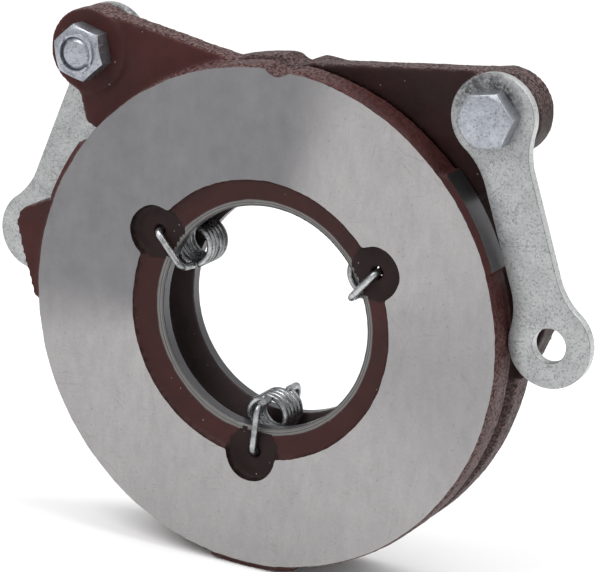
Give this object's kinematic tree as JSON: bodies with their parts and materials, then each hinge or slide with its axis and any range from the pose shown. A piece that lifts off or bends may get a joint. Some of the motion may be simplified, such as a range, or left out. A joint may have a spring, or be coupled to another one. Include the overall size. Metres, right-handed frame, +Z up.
{
  "type": "ball-and-ramp disc brake actuator",
  "caption": "Ball-and-ramp brake actuator: ramped cast discs with ground faces, balls between, return springs in the bore and bolted pull links on lugs.",
  "frame": {"origin": "on the disc axis, half way between the two ground faces: the centre of the circle that the guide pads lie on", "axes": "+Y along the disc axis from the front ground face to the rear one, +Z up towards the lugs, +X to the right seen from the front"},
  "size_m": [0.2392, 0.035, 0.1894],
  "materials": {
    "painted_casting": "red-brown primer on rough sand-cast iron, with a flat ground friction face, machined guide pads and a machined bore lip left bare",
    "ball_steel": "polished bearing steel with a film of grease",
    "spring_wire": "drawn spring wire, lightly zinc plated, with draw lines",
    "link_zinc": "laser-cut plate, dull mottled zinc plating with handling marks",
    "fastener_zinc": "bright bluish zinc plating, worn on the corners"
  },
  "bodies": {
    "front_disc": {"front_disc": "painted_casting", "left_bolt": "fastener_zinc", "left_nut": "fastener_zinc"},
    "return_springs": {"return_spring_1": "spring_wire", "return_spring_2": "spring_wire", "return_spring_3": "spring_wire"},
    "rear_disc": {"rear_disc": "painted_casting", "right_bolt": "fastener_zinc", "right_nut": "fastener_zinc"},
    "left_link": {"left_link": "link_zinc"},
    "right_link": {"right_link": "link_zinc"},
    "ball_1": {"ball_1": "ball_steel"},
    "ball_2": {"ball_2": "ball_steel"},
    "ball_3": {"ball_3": "ball_steel"},
    "ball_4": {"ball_4": "ball_steel"},
    "ball_5": {"ball_5": "ball_steel"},
    "ball_6": {"ball_6": "ball_steel"}
  },
  "joints": [
    {"name": "spread", "type": "slide", "parent": "front_disc", "child": "return_springs", "axis": [0, 1, 0], "range_m": [0, 0.00301]},
    {"name": "turn", "type": "hinge", "parent": "return_springs", "child": "rear_disc", "pos_m": [0, 0, 0], "axis": [0, -1, 0], "range_deg": [0, 10], "stiffness_Nm_per_rad": 8, "springref_deg": -28.65, "deforming": ["return_spring_1", "return_spring_2", "return_spring_3"]},
    {"name": "left_link_swing", "type": "hinge", "parent": "front_disc", "child": "left_link", "pos_m": [-0.078, 0.00735, 0.0831], "axis": [0, 1, 0], "range_deg": [0, 225]},
    {"name": "right_link_swing", "type": "hinge", "parent": "rear_disc", "child": "right_link", "pos_m": [0.078, -0.00735, 0.0831], "axis": [0, -1, 0], "range_deg": [0, 225]},
    {"name": "ball_1_roll", "type": "slide", "parent": "front_disc", "child": "ball_1", "axis": [-0.8403, 0.2417, -0.4852], "range_m": [0, 0.00622]},
    {"name": "ball_2_roll", "type": "slide", "parent": "front_disc", "child": "ball_2", "axis": [0, 0.2417, -0.9703], "range_m": [0, 0.00622]},
    {"name": "ball_3_roll", "type": "slide", "parent": "front_disc", "child": "ball_3", "axis": [0.8403, 0.2417, -0.4852], "range_m": [0, 0.00622]},
    {"name": "ball_4_roll", "type": "slide", "parent": "front_disc", "child": "ball_4", "axis": [0.8403, 0.2417, 0.4852], "range_m": [0, 0.00622]},
    {"name": "ball_5_roll", "type": "slide", "parent": "front_disc", "child": "ball_5", "axis": [0, 0.2417, 0.9703], "range_m": [0, 0.00622]},
    {"name": "ball_6_roll", "type": "slide", "parent": "front_disc", "child": "ball_6", "axis": [-0.8403, 0.2417, 0.4852], "range_m": [0, 0.00622]}
  ],
  "couplings": [
    {"joint": "spread", "follows": "turn", "m_per_rad": 0.017189},
    {"joint": "ball_1_roll", "follows": "turn", "m_per_rad": 0.035554},
    {"joint": "ball_2_roll", "follows": "turn", "m_per_rad": 0.035554},
    {"joint": "ball_3_roll", "follows": "turn", "m_per_rad": 0.035554},
    {"joint": "ball_4_roll", "follows": "turn", "m_per_rad": 0.035554},
    {"joint": "ball_5_roll", "follows": "turn", "m_per_rad": 0.035554},
    {"joint": "ball_6_roll", "follows": "turn", "m_per_rad": 0.035554}
  ]
}
